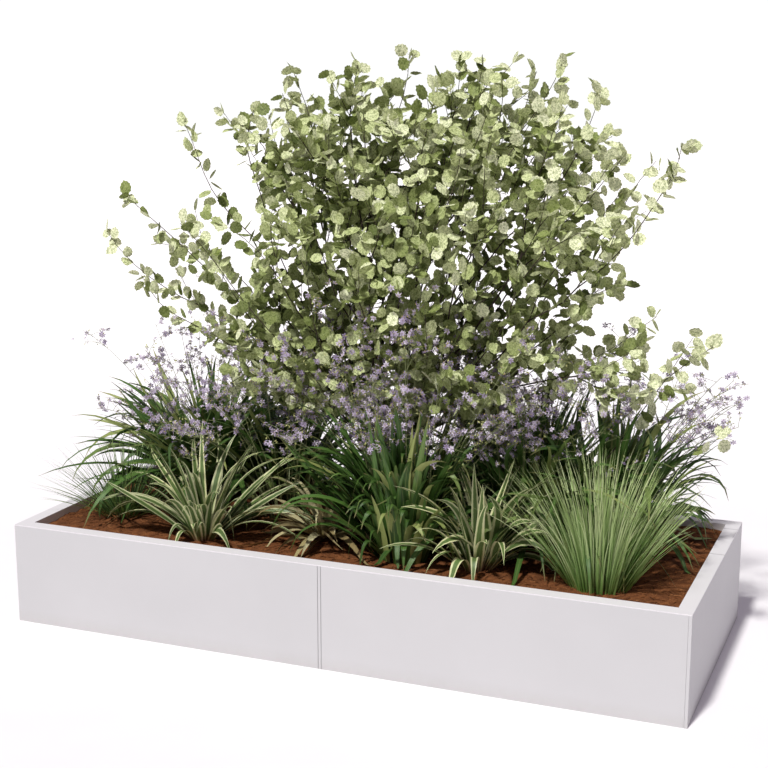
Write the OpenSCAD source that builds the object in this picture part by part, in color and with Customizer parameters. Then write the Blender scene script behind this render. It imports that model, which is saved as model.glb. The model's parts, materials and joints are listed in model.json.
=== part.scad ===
// Long low street planter: powder-coated sheet panels on thick end plates and a centre rib,
// a folded rim in lengths, a raised drained floor, and its planting.
// Origin: middle of the footprint on the ground. +X along the length, +Y to the back, +Z up.

/* [Box] */
// Length along X
box_l = 2400; // [2350:10:2600]
// Depth along Y
box_w = 1000; // [980:10:1200]
// Height above the ground
box_h = 360; // [340:5:450]
// Width of the rim seen from above
rim_w = 50; // [46:1:56]
// How far the rim's inner lip reaches below the rim's top
lip_h = 66; // [60:1:80]
// Depth of the mulch surface below the rim's top
mulch_drop = 24; // [15:1:30]

/* [Sheet and plate] */
// Thickness of the folded panels and rim lengths
sheet_t = 3; // [2:0.5:4]
// Thickness of the end plates and the centre rib, seen as strips between the panels
plate_t = 10; // [8:1:12]
// Where the middle of the rib lies along X
rib_x = -10; // [-30:1:30]
// Width of the foot that the rib stands on
rib_foot = 40; // [36:2:60]
// Depth of a panel's folded flanges, outside face to edge
flange_d = 28; // [24:1:30]
// Joint gap between two panels or two rim lengths
joint_gap = 1.2; // [0.4:0.1:1.5]
// Where the side rims are split, measured back from the front face
rim_joint_front = 600; // [560:10:640]
rim_joint_rear = 900; // [860:5:905]

/* [Floor] */
// Outside size of the square floor bearers
bearer = 50; // [40:1:60]
// Wall of the bearers
bearer_t = 3; // [2:0.5:4]
// Sheet of the floor pans
pan_t = 2; // [1.5:0.5:3]
// Height of the pans' upturned edges
pan_lip = 25; // [20:1:30]
// Diameter of the drain holes
drain_d = 14; // [10:1:20]

/* [Filling] */
// Thickness of the insulation boards behind the panels
board_t = 25; // [20:1:25]
// Depth of the drainage layer
drain_layer = 40; // [30:1:50]
// Thickness of the filter fleece
fleece_t = 2; // [1:0.5:3]

/* [Fixings] */
// Diameter of the panel bolts
bolt_d = 8; // [6:1:10]
// Diameter of the rim studs and tie bolts
stud_d = 6; // [5:1:8]
// Outside size of the cross ties
tie = 25; // [20:1:25]
// Distance of each cross tie from the middle
tie_x = 648; // [640:1:655]

/* [Planting] */
// Shrub: X and Y of its foot
shrub_at = [-75, 115]; // [-150:5:150]
// Shrub: height of the crown's top above the ground
crown_top = 2033; // [1950:1:2100]
// Striped strap-leaved clump on the left
striped_left_at = [-542, -300]; // [-600:1:600]
// Striped strap-leaved clump on the right
striped_right_at = [473, -206]; // [-600:1:600]
// Flowering clump at the left back
purple_left_at = [-790, 230]; // [-900:1:900]
// Flowering clump at the front centre
purple_centre_at = [187, -232]; // [-900:1:900]
// Flowering clump at the right back
purple_right_at = [790, 200]; // [-900:1:900]
// Fine grass on the left
grass_left_at = [-961, -154]; // [-1000:1:1000]
// Fine grass on the right
grass_right_at = [865, -260]; // [-1000:1:1000]
// Low clump of dried leaves
dried_at = [-155, -131]; // [-200:1:200]

/* [Hidden] */
$fn = 32;

hl = box_l / 2;
hw = box_w / 2;
panel_h = box_h - sheet_t;
rib_left = rib_x - plate_t / 2;
rib_right = rib_x + plate_t / 2;
lip_z = box_h - lip_h;
mulch_z = box_h - mulch_drop;
// Gap left round a piece that fits into another
clear = 0.2;
// Play of a clearance hole on its diameter
play = 0.6;
// How far a cutting shape runs past what it cuts
cut = 1;

// Levels of the floor
pan_z = sheet_t + bearer;
layer_z = pan_z + pan_t;
fleece_z = layer_z + drain_layer;
soil_z = fleece_z + fleece_t;

// Spans inside the walls
pan_gap = 1;
pan_y = hw - sheet_t - pan_gap;
pan_left = [-hl + plate_t + sheet_t + pan_gap, rib_left - sheet_t - pan_gap];
pan_right = [rib_right + sheet_t + pan_gap, hl - plate_t - sheet_t - pan_gap];
board_y = pan_y - pan_t;
soil_y = board_y - board_t;
board_x = hl - plate_t - sheet_t - pan_gap - pan_t;
soil_x = board_x - board_t;

// Fixings
bolt_rows = [110, 190, 270];
flange_mid = sheet_t + (flange_d - sheet_t) / 2;
// Depth of a blind hole in an end plate
blind = 7;
head_h = 5;
nut_h = 5;
// Across a hexagon's corners, as a share of the bolt's diameter
hex = 1.8;
stud_len = 13;
// Angles under the side rims: leg, length, where they stand, and their holes' distance from the corner
bracket = 30;
bracket_l = 60;
bracket_y = [-300, -50, 250];
bracket_hole = bracket / 2 + 2;
bracket_z = panel_h - bracket_hole;
stud_x = [140, 440, 740, 1040];
// Size of a joint plate under the side rims
splice = [33, 60];
tie_z = lip_z + 4;
// Width of a cross tie's end plate, and the room along Y that it takes out of the mulch
tie_pad = 70;
tie_room = 14;
bearer_x = [-980, -600, -220, 200, 590, 980];
// Insulation: ends of the long boards, clear of bolt heads and nuts, and top, clear of the brackets
board_end = hl - plate_t - sheet_t - head_h - 2;
board_mid = [rib_left - sheet_t - head_h - 3, rib_right + sheet_t + nut_h + 5];
board_top = panel_h - bracket - 7;

// Planting: radius of the foot
foot_striped = 55;
foot_purple = 60;
foot_grass = 60;
foot_dried = 40;
foot_shrub = 32;
// Every plant: where it stands, radius of its foot, radius and depth of its root ball
feet = [
    [shrub_at, foot_shrub, 165, 185],
    [striped_left_at, foot_striped, 70, 150],
    [striped_right_at, foot_striped, 90, 150],
    [purple_left_at, foot_purple, 105, 170],
    [purple_centre_at, foot_purple, 105, 170],
    [purple_right_at, foot_purple, 105, 170],
    [grass_left_at, foot_grass, 90, 150],
    [grass_right_at, foot_grass, 100, 150],
    [dried_at, foot_dried, 80, 120]];
// Each clump of leaves: greatest radius, the height where it is reached, and height of the top
striped_left_size = [235, 560, 750];
striped_right_size = [130, 560, 735];
purple_left_size = [220, 640, 860];
purple_centre_size = [150, 600, 820];
purple_right_size = [200, 640, 860];
grass_left_size = [180, 480, 640];
grass_right_size = [215, 600, 790];
dried_size = [125, 430, 520];
// Each egg of flowers or of crown: its middle, radius and half height
flowers_left_egg = [[-1176, 150, 705], 150, 110];
flowers_centre_egg = [[187, -232, 905], 150, 76];
flowers_right_egg = [[1078, 200, 905], 80, 82];
crown_h = (crown_top - 850) / 2;
crown_middle_egg = [[-45, 100, crown_top - crown_h], 420, crown_h];
crown_left_egg = [[-785, 60, 1360], 315, 420];
crown_right_egg = [[695, 140, 1420], 316, 500];
crown_outer_eggs = [[[-60, 655, 1380], 132, 350], [[-60, -448, 1400], 124, 350], [[1120, -60, 700], 101, 90]];
// Wall thickness of the hollow solids that stand for foliage
skin = 8;
// The shrub's forks, and its branches: start, end, and radius at each
fork = [shrub_at[0], shrub_at[1], 420];
high_fork = fork + [0, 0, 80];
branches = [
    [[fork[0], fork[1], mulch_z - 1], fork + [0, 0, 6], 26, 22],
    [fork, high_fork + [0, 0, 4], 20, 17],
    [high_fork, [-55, 105, 842], 16, 10],
    [fork, [-566, 60, 1056], 14, 7],
    [fork, [466, 140, 1060], 14, 7],
    [high_fork, [-62, 648, 1020], 12, 6],
    [high_fork, [-60, -442, 1040], 12, 6],
    [fork, [1016, -54, 698], 11, 5]];
// Rib: inner edge of its legs, and reach of its foot, clear of the panels' flanges
rib_leg = hw - 120;
rib_foot_y = hw - flange_d - 2;
// Side rims' joints in Y
joint_y = [-hw + rim_joint_front, -hw + rim_joint_rear];

coat = "gainsboro";
metal = "silver";

// ---- Walls ----

// A folded tray: outside face at y = 0, flanges towards +Y on all four edges.
// The face laps past the first flange by over, to cover an end plate's edge.
module wall_panel(len, over) {
    color(coat) difference() {
        union() {
            cube([len, sheet_t, panel_h]);
            for (z = [0, panel_h - sheet_t]) translate([over, 0, z]) cube([len - over, flange_d, sheet_t]);
            for (x = [over, len - sheet_t]) translate([x, 0, 0]) cube([sheet_t, flange_d, panel_h]);
        }
        for (x = [over, len - sheet_t], z = bolt_rows)
            translate([x - cut, flange_mid, z])
                rotate([0, 90, 0]) cylinder(d = bolt_d + play, h = sheet_t + 2 * cut);
    }
}

// Holes for the rim studs through the top flanges along one long side.
module stud_holes() {
    for (s = [-1, 1], x = stud_x)
        translate([s * x, -hw + flange_mid, panel_h - sheet_t - cut])
            cylinder(d = stud_d + play, h = sheet_t + 2 * cut);
}

// Panel that covers the end plate's edge, and panel that stops at it.
module covering_panel(inner_end) {
    difference() {
        translate([-hl, -hw, 0]) wall_panel(hl + inner_end, plate_t + joint_gap / 2);
        stud_holes();
    }
}
module butting_panel(inner_end) {
    difference() {
        translate([inner_end, -hw, 0]) wall_panel(hl - plate_t - joint_gap / 2 - inner_end, 0);
        stud_holes();
    }
}

module panel_front_left() { covering_panel(rib_left - joint_gap / 2); }
module panel_front_right() { butting_panel(rib_right + joint_gap / 2); }
module panel_back_right() { rotate(180) covering_panel(-rib_right - joint_gap / 2); }
module panel_back_left() { rotate(180) butting_panel(-rib_left + joint_gap / 2); }

// The plate's edge shows at one corner and a panel covers it at the other.
// side is 1 on the right, -1 on the left, where the plate is turned round.
module end_plate(side) {
    color(coat) difference() {
        translate([hl - plate_t, -hw, 0]) cube([plate_t, box_w - sheet_t - joint_gap, panel_h]);
        for (s = [-1, 1], z = bolt_rows)
            translate([hl - plate_t - cut, s * (hw - flange_mid), z])
                rotate([0, 90, 0]) cylinder(d = bolt_d + 2 * clear, h = blind + cut);
        for (y = bracket_y)
            translate([hl - plate_t - cut, side * y, bracket_z])
                rotate([0, 90, 0]) cylinder(d = stud_d + 2 * clear, h = blind + cut);
    }
}
module end_plate_right() { end_plate(1); }
module end_plate_left() { rotate(180) end_plate(-1); }

// A portal across the middle: two legs, a low strip, so roots can cross above it, and a foot.
module centre_rib() {
    leg_top = hw - rim_w + sheet_t + 1;
    leg_z = lip_z - 1;
    outline = [[hw, 0], [hw, panel_h], [leg_top, panel_h], [leg_top, leg_z],
        [rib_leg, leg_z], [rib_leg, fleece_z]];
    color(coat) {
        difference() {
            translate([rib_left, 0, 0]) rotate([90, 0, 90]) linear_extrude(plate_t)
                polygon(concat(outline, [for (i = [len(outline) - 1:-1:0]) [-outline[i][0], outline[i][1]]]));
            for (s = [-1, 1], z = bolt_rows)
                translate([rib_left - cut, s * (hw - flange_mid), z])
                    rotate([0, 90, 0]) cylinder(d = bolt_d + play, h = plate_t + 2 * cut);
        }
        translate([rib_x - rib_foot / 2, -rib_foot_y, 0]) cube([rib_foot, 2 * rib_foot_y, plate_t]);
    }
}

// ---- Rim ----

// One length of folded rim along X from a to b, outer edge at y = 0. An end set to 1 is mitred.
module rim_length(a, b, mitre_a, mitre_b) {
    lip_y = rim_w - sheet_t;
    module strip(y0, y1) polygon([[a + mitre_a * y0, y0], [b - mitre_b * y0, y0],
        [b - mitre_b * y1, y1], [a + mitre_a * y1, y1]]);
    color(coat) {
        translate([0, 0, panel_h]) linear_extrude(sheet_t) strip(0, rim_w);
        translate([0, 0, lip_z]) linear_extrude(lip_h) strip(lip_y, rim_w);
    }
}

module long_rim() {
    difference() {
        translate([0, -hw, 0]) rim_length(-hl, hl, 1, 1);
        tie_holes();
    }
}
module rim_front() { long_rim(); }
module rim_back() { mirror([0, 1, 0]) long_rim(); }

module side_rim(y0, y1, mitre_0, mitre_1) {
    translate([hl, 0, 0]) rotate(90) rim_length(y0, y1, mitre_0, mitre_1);
}
module rim_right_front() { side_rim(-hw, joint_y[0] - joint_gap / 2, 1, 0); }
module rim_right_middle() { side_rim(joint_y[0] + joint_gap / 2, joint_y[1] - joint_gap / 2, 0, 0); }
module rim_right_rear() { side_rim(joint_y[1] + joint_gap / 2, hw, 0, 1); }
module rim_left_front() { mirror([1, 0, 0]) rim_right_front(); }
module rim_left_middle() { mirror([1, 0, 0]) rim_right_middle(); }
module rim_left_rear() { mirror([1, 0, 0]) rim_right_rear(); }

// Plates under the side rims' joints.
module rim_splices() {
    color(metal) for (s = [-1, 1], y = joint_y)
        translate([s * (hl - plate_t - splice[0] / 2) - s, y, panel_h - sheet_t / 2])
            cube([splice[0], splice[1], sheet_t], center = true);
}

// Angles that carry the side rims on the end plates.
module rim_brackets() {
    color(metal) for (s = [0, 1], y = bracket_y) mirror([s, 0, 0]) difference() {
        translate([hl - plate_t, y - bracket_l / 2, 0]) {
            translate([-sheet_t, 0, panel_h - bracket]) cube([sheet_t, bracket_l, bracket]);
            translate([-bracket, 0, panel_h - sheet_t]) cube([bracket, bracket_l, sheet_t]);
        }
        translate([hl - plate_t - sheet_t - cut, y, bracket_z])
            rotate([0, 90, 0]) cylinder(d = stud_d + play, h = sheet_t + 2 * cut);
        translate([hl - plate_t - bracket_hole, y, panel_h - sheet_t - cut])
            cylinder(d = stud_d + play, h = sheet_t + 2 * cut);
    }
}

// ---- Fixings ----

// A hexagon-headed bolt: head below z = 0, shank above it.
module bolt(d, len) {
    translate([0, 0, -head_h]) cylinder(d = hex * d, h = head_h, $fn = 6);
    cylinder(d = d, h = len);
}
module nut(d) {
    difference() {
        cylinder(d = hex * d, h = nut_h, $fn = 6);
        translate([0, 0, -cut]) cylinder(d = d + 2 * clear, h = nut_h + 2 * cut);
    }
}

// Where the rim's studs stand: along the long sides, and over the brackets.
stud_spots = concat(
    [for (s = [-1, 1], t = [-1, 1], x = stud_x) [s * x, t * (hw - flange_mid)]],
    [for (s = [-1, 1], y = bracket_y) [s * (hl - plate_t - bracket_hole), y]]);

module rim_studs() {
    color(metal) for (p = stud_spots)
        translate([p[0], p[1], panel_h - stud_len]) cylinder(d = stud_d, h = stud_len);
}
module rim_nuts() {
    color(metal) for (p = stud_spots) translate([p[0], p[1], panel_h - sheet_t - nut_h]) nut(stud_d);
}
module bracket_bolts() {
    color(metal) for (s = [0, 1], y = bracket_y) mirror([s, 0, 0])
        translate([hl - plate_t - sheet_t, y, bracket_z])
            rotate([0, 90, 0]) bolt(stud_d, sheet_t + blind - 1);
}
module corner_bolts() {
    color(metal) for (s = [0, 1], t = [-1, 1], z = bolt_rows) mirror([s, 0, 0])
        translate([hl - plate_t - joint_gap / 2 - sheet_t, t * (hw - flange_mid), z])
            rotate([0, 90, 0]) bolt(bolt_d, sheet_t + joint_gap / 2 + blind - 1);
}

// What the rib's bolts hold on each side of it: a joint gap and a flange.
rib_grip = joint_gap / 2 + sheet_t;
module rib_bolts() {
    color(metal) for (t = [-1, 1], z = bolt_rows)
        translate([rib_left - rib_grip, t * (hw - flange_mid), z])
            rotate([0, 90, 0]) bolt(bolt_d, plate_t + 2 * rib_grip + nut_h + 2);
}
module rib_nuts() {
    color(metal) for (t = [-1, 1], z = bolt_rows)
        translate([rib_right + rib_grip, t * (hw - flange_mid), z]) rotate([0, 90, 0]) nut(bolt_d);
}

// ---- Cross ties ----

module tie_spots() {
    for (s = [-1, 1], t = [-1, 1]) translate([s * tie_x + t * tie_pad / 3, 0, tie_z + tie / 2]) children();
}
// Holes through the front rim's lip.
module tie_holes() {
    tie_spots() translate([0, -hw + rim_w + cut, 0])
        rotate([90, 0, 0]) cylinder(d = stud_d + play, h = sheet_t + 2 * cut);
}
module cross_tie(x) {
    span = hw - rim_w;
    color(metal) difference() {
        translate([x, 0, tie_z + tie / 2]) union() {
            difference() {
                cube([tie, 2 * span, tie], center = true);
                cube([tie - 2 * pan_t, 2 * (span + cut), tie - 2 * pan_t], center = true);
            }
            for (t = [-1, 1]) translate([0, t * (span - sheet_t / 2), 0])
                cube([tie_pad, sheet_t, tie], center = true);
        }
        for (t = [0, 1]) mirror([0, t, 0]) tie_spots() translate([0, -span + sheet_t + cut, 0])
            rotate([90, 0, 0]) cylinder(d = stud_d + play, h = sheet_t + 2 * cut);
    }
}
module cross_tie_left() { cross_tie(-tie_x); }
module cross_tie_right() { cross_tie(tie_x); }
module tie_bolts() {
    color(metal) for (t = [0, 1]) mirror([0, t, 0]) tie_spots()
        translate([0, -hw + rim_w - sheet_t, 0]) rotate([-90, 0, 0]) {
            bolt(stud_d, 2 * sheet_t + nut_h + 1);
            translate([0, 0, 2 * sheet_t]) nut(stud_d);
        }
}

// ---- Floor ----

// Square tubes that rest on the bottom flanges of the front and back panels.
module floor_bearer(i) {
    color(metal) translate([bearer_x[i], 0, sheet_t + bearer / 2]) difference() {
        cube([bearer, 2 * pan_y, bearer], center = true);
        cube([bearer - 2 * bearer_t, 2 * (pan_y + cut), bearer - 2 * bearer_t], center = true);
    }
}
module floor_bearer_1() { floor_bearer(0); }
module floor_bearer_2() { floor_bearer(1); }
module floor_bearer_3() { floor_bearer(2); }
module floor_bearer_4() { floor_bearer(3); }
module floor_bearer_5() { floor_bearer(4); }
module floor_bearer_6() { floor_bearer(5); }

// A tray with upturned edges and rows of drain holes.
module floor_pan(span) {
    w = span[1] - span[0];
    columns = 4;
    row = 0.6 * pan_y;
    color(metal) difference() {
        translate([span[0], -pan_y, pan_z]) cube([w, 2 * pan_y, pan_t + pan_lip]);
        translate([span[0] + pan_t, -pan_y + pan_t, layer_z])
            cube([w - 2 * pan_t, 2 * (pan_y - pan_t), pan_lip + cut]);
        for (i = [0:columns - 1], j = [-1, 0, 1])
            translate([span[0] + w * (i + 0.5) / columns, j * row, pan_z - cut])
                cylinder(d = drain_d, h = pan_t + 2 * cut);
    }
}
module floor_pan_left() { floor_pan(pan_left); }
module floor_pan_right() { floor_pan(pan_right); }

// ---- Filling ----

// Boards between the panels' end flanges, clear of the bolt heads.
module long_boards() {
    color("lightsteelblue") for (x = [[-board_end, board_mid[0]], [board_mid[1], board_end]])
        translate([x[0], -board_y, layer_z]) cube([x[1] - x[0], board_t, board_top - layer_z]);
}
module insulation_front() { long_boards(); }
module insulation_back() { mirror([0, 1, 0]) long_boards(); }
module insulation_ends() {
    color("lightsteelblue") for (s = [0, 1]) mirror([s, 0, 0])
        translate([soil_x, -soil_y, layer_z]) cube([board_t, 2 * soil_y, board_top - layer_z]);
}

module drainage(x0, x1) {
    color("rosybrown") translate([x0, -soil_y, layer_z]) cube([x1 - x0, 2 * soil_y, drain_layer]);
}
module drainage_left() { drainage(-soil_x, pan_left[1] - pan_t); }
module drainage_right() { drainage(pan_right[0] + pan_t, soil_x); }

// The room that the rib's legs take out of the filling.
module rib_legs() {
    for (t = [0, 1]) mirror([0, t, 0]) translate([rib_left - clear, rib_leg - clear, 0])
        cube([plate_t + 2 * clear, hw, box_h]);
}
module filter_fleece() {
    color("whitesmoke") difference() {
        translate([-soil_x, -soil_y, fleece_z]) cube([2 * soil_x, 2 * soil_y, fleece_t]);
        rib_legs();
    }
}
module soil() {
    color("sienna") difference() {
        translate([-soil_x, -soil_y, soil_z]) cube([2 * soil_x, 2 * soil_y, lip_z - soil_z]);
        rib_legs();
        for (f = feet) translate([f[0][0], f[0][1], lip_z - f[3]]) cylinder(r = f[2], h = f[3] + cut);
    }
}
module root_balls() {
    color("saddlebrown") for (f = feet)
        translate([f[0][0], f[0][1], lip_z - f[3]]) cylinder(r = f[2], h = f[3]);
}
module mulch() {
    x = hl - rim_w;
    y = hw - rim_w;
    tie_top = tie_z + tie + clear - lip_z;
    color("brown") difference() {
        translate([-x, -y, lip_z]) cube([2 * x, 2 * y, mulch_z - lip_z]);
        for (f = feet) translate([f[0][0], f[0][1], lip_z - cut]) cylinder(r = f[1], h = box_h);
        for (s = [-1, 1]) translate([s * tie_x, 0, lip_z - cut]) {
            translate([-tie / 2 - clear, -y - cut, 0]) cube([tie + 2 * clear, 2 * (y + cut), tie_top + cut]);
            for (t = [-1, 1]) translate([-tie_pad / 2 - clear, t * y - tie_room, 0])
                cube([tie_pad + 2 * clear, 2 * tie_room, tie_top + cut]);
        }
    }
}

// ---- Planting: hollow closed solids that hold each plant's room ----

// A vase of revolution: foot in the mulch, widest at size[0] and size[1] high, domed to size[2].
module clump(at, foot, size) {
    r = size[0];
    wide = size[1];
    top = size[2];
    neck = mulch_z + skin;
    shoulder_r = 0.85 * r;
    shoulder = wide + 0.6 * (top - wide);
    crest_r = 0.4 * r;
    wall = 1.5 * skin;
    outer = [[0, lip_z], [foot, lip_z], [foot, neck], [r, wide],
        [shoulder_r, shoulder], [crest_r, top], [0, top]];
    inner = [[0, lip_z + skin], [foot - skin, lip_z + skin], [foot - skin, neck + skin],
        [r - wall, wide + skin / 2], [shoulder_r - wall, shoulder - skin],
        [crest_r - skin, top - wall], [0, top - wall]];
    translate([at[0], at[1], 0]) difference() {
        rotate_extrude() polygon(outer);
        rotate_extrude() polygon(inner);
    }
}
// A hollow egg about a vertical axis: its middle, radius and half height.
module egg(e) {
    function arc(r, h) = [for (a = [-90:15:90]) [abs(a) == 90 ? 0 : r * cos(a), h * sin(a)]];
    translate(e[0]) difference() {
        rotate_extrude() polygon(arc(e[1], e[2]));
        rotate_extrude() polygon(arc(e[1] - skin, e[2] - skin));
    }
}

module striped_left() { color("darkseagreen") clump(striped_left_at, foot_striped, striped_left_size); }
module striped_right() { color("darkseagreen") clump(striped_right_at, foot_striped, striped_right_size); }
module purple_left() { color("forestgreen") clump(purple_left_at, foot_purple, purple_left_size); }
module purple_centre() { color("forestgreen") clump(purple_centre_at, foot_purple, purple_centre_size); }
module purple_right() { color("forestgreen") clump(purple_right_at, foot_purple, purple_right_size); }
module grass_left() { color("yellowgreen") clump(grass_left_at, foot_grass, grass_left_size); }
module grass_right() { color("yellowgreen") clump(grass_right_at, foot_grass, grass_right_size); }
module dried_leaves() { color("tan") clump(dried_at, foot_dried, dried_size); }

module flowers_left() { color("mediumpurple") egg(flowers_left_egg); }
module flowers_centre() { color("mediumpurple") egg(flowers_centre_egg); }
module flowers_right() { color("mediumpurple") egg(flowers_right_egg); }

// The crown: one large mass and the masses at the ends of the outer branches.
module crown_middle() { color("olivedrab") egg(crown_middle_egg); }
module crown_left() { color("olivedrab") egg(crown_left_egg); }
module crown_right() { color("olivedrab") egg(crown_right_egg); }
module crown_outer() { color("olivedrab") for (e = crown_outer_eggs) egg(e); }

// A tapered stem from p to q.
module stem(p, q, r0, r1) {
    d = q - p;
    translate(p) rotate([0, acos(d[2] / norm(d)), atan2(d[1], d[0])]) cylinder(r1 = r0, r2 = r1, h = norm(d));
}
module shrub_stems() {
    color("dimgray") {
        translate([fork[0], fork[1], lip_z]) cylinder(r = foot_shrub, h = mulch_z - lip_z);
        for (b = branches) stem(b[0], b[1], b[2], b[3]);
    }
}

panel_front_left();
panel_front_right();
panel_back_left();
panel_back_right();
end_plate_left();
end_plate_right();
centre_rib();
rim_front();
rim_back();
rim_left_front();
rim_left_middle();
rim_left_rear();
rim_right_front();
rim_right_middle();
rim_right_rear();
rim_splices();
rim_brackets();
rim_studs();
rim_nuts();
bracket_bolts();
corner_bolts();
rib_bolts();
rib_nuts();
floor_bearer_1();
floor_bearer_2();
floor_bearer_3();
floor_bearer_4();
floor_bearer_5();
floor_bearer_6();
floor_pan_left();
floor_pan_right();
cross_tie_left();
cross_tie_right();
tie_bolts();
insulation_front();
insulation_back();
insulation_ends();
drainage_left();
drainage_right();
filter_fleece();
soil();
mulch();
root_balls();
shrub_stems();
crown_middle();
crown_left();
crown_right();
crown_outer();
striped_left();
striped_right();
purple_left();
purple_centre();
purple_right();
grass_left();
grass_right();
dried_leaves();
flowers_left();
flowers_centre();
flowers_right();
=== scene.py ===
import json
import math

import bpy
import numpy as np
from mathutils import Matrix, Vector


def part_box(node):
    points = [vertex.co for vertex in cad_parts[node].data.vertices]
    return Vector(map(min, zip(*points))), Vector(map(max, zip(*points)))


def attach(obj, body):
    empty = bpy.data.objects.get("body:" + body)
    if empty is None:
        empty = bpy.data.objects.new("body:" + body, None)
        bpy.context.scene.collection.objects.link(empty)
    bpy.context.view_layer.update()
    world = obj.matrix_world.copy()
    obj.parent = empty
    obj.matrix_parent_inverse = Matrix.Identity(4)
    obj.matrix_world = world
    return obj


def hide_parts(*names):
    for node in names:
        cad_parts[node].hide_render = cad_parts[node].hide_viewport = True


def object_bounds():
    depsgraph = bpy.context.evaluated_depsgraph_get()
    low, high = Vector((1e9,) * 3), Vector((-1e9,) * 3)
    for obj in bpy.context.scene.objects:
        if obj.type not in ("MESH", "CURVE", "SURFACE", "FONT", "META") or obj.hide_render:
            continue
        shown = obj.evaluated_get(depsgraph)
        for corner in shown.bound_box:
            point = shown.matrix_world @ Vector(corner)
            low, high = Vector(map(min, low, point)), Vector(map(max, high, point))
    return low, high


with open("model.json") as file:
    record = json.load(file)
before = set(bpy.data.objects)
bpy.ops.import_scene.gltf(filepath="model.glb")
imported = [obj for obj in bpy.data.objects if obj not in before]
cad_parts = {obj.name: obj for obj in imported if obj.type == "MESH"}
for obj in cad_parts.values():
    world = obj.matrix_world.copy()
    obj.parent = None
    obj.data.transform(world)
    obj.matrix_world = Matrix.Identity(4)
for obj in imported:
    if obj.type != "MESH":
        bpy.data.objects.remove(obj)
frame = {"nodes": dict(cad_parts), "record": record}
cad_low, cad_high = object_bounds()

# Everything is in metres, in the row's frame: origin at the middle of the footprint, +Y to the back.
BED_LOW, BED_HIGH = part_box("mulch")
BED_TOP = BED_HIGH[2]
# The bark lies a little lower than the CAD bed, so that the shards on it come up to the bed's top.
BARK_DROP = 0.003
# Corners of the room for leaves and flower stalks in X and Y. A head's twigs reach further than its stalk.
LEAF_REACH = ((-1.27, -0.455), (1.165, 0.62))
TWIG_ROOM = [[0.06, 0.06], [-0.04, -0.06]]
FLOWER_REACH = np.array([cad_low[:2], cad_high[:2]]) + TWIG_ROOM
SHRUB_FOOT = (-0.075, 0.115)
TAU = 2 * math.pi


# ---- Camera, light and floor ----

AZIMUTH, ELEVATION, DISTANCE, LENS = 21.95, 11.70, 5.0, 67.2
AIM = Vector((0.022, -0.011, 0.872))
SENSOR = 36.0
FLOOR_HALF = 40.0
# How far out the floor reaches its full glow.
GLOW_REACH = 12.0


def place(name, data, azimuth, elevation):
    """Adds a camera or lamp that looks from azimuth (0 is the front, positive to the right) and elevation."""
    a, e = math.radians(azimuth), math.radians(elevation)
    back = Vector((math.sin(a) * math.cos(e), -math.cos(a) * math.cos(e), math.sin(e)))
    thing = bpy.data.objects.new(name, data)
    thing.location = AIM + back * DISTANCE
    thing.rotation_mode = "QUATERNION"
    thing.rotation_quaternion = back.to_track_quat("Z", "Y")
    bpy.context.collection.objects.link(thing)
    return thing


def make_camera():
    data = bpy.data.cameras.new("camera")
    data.lens, data.sensor_width = LENS, SENSOR
    bpy.context.scene.camera = place("camera", data, AZIMUTH, ELEVATION)


def make_sun(azimuth, elevation, strength, softness, colour):
    data = bpy.data.lights.new("key", "SUN")
    data.energy, data.angle, data.color = strength, math.radians(softness), colour
    place("key", data, azimuth, elevation)


def make_world(light, tint, seen):
    """A plain bright room: light and tint are what falls on things, and seen is the white behind them."""
    world = bpy.data.worlds.new("studio")
    world.use_nodes = True
    nodes, links = world.node_tree.nodes, world.node_tree.links
    room = nodes["Background"]
    room.inputs["Color"].default_value = (*tint, 1.0)
    room.inputs["Strength"].default_value = light
    backdrop = nodes.new("ShaderNodeBackground")
    backdrop.inputs["Color"].default_value = (1.0, 1.0, 1.0, 1.0)
    backdrop.inputs["Strength"].default_value = seen
    path = nodes.new("ShaderNodeLightPath")
    both = nodes.new("ShaderNodeMixShader")
    links.new(path.outputs["Is Camera Ray"], both.inputs["Fac"])
    links.new(room.outputs["Background"], both.inputs[1])
    links.new(backdrop.outputs["Background"], both.inputs[2])
    links.new(both.outputs["Shader"], nodes["World Output"].inputs["Surface"])
    bpy.context.scene.world = world


def make_floor(material):
    corners = [(x * FLOOR_HALF, y * FLOOR_HALF, 0) for x, y in ((-1, -1), (1, -1), (1, 1), (-1, 1))]
    mesh = bpy.data.meshes.new("floor")
    mesh.from_pydata(corners, [], [(0, 1, 2, 3)])
    mesh.materials.append(material)
    floor = bpy.data.objects.new("floor", mesh)
    bpy.context.collection.objects.link(floor)


# ---- Materials ----


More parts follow.
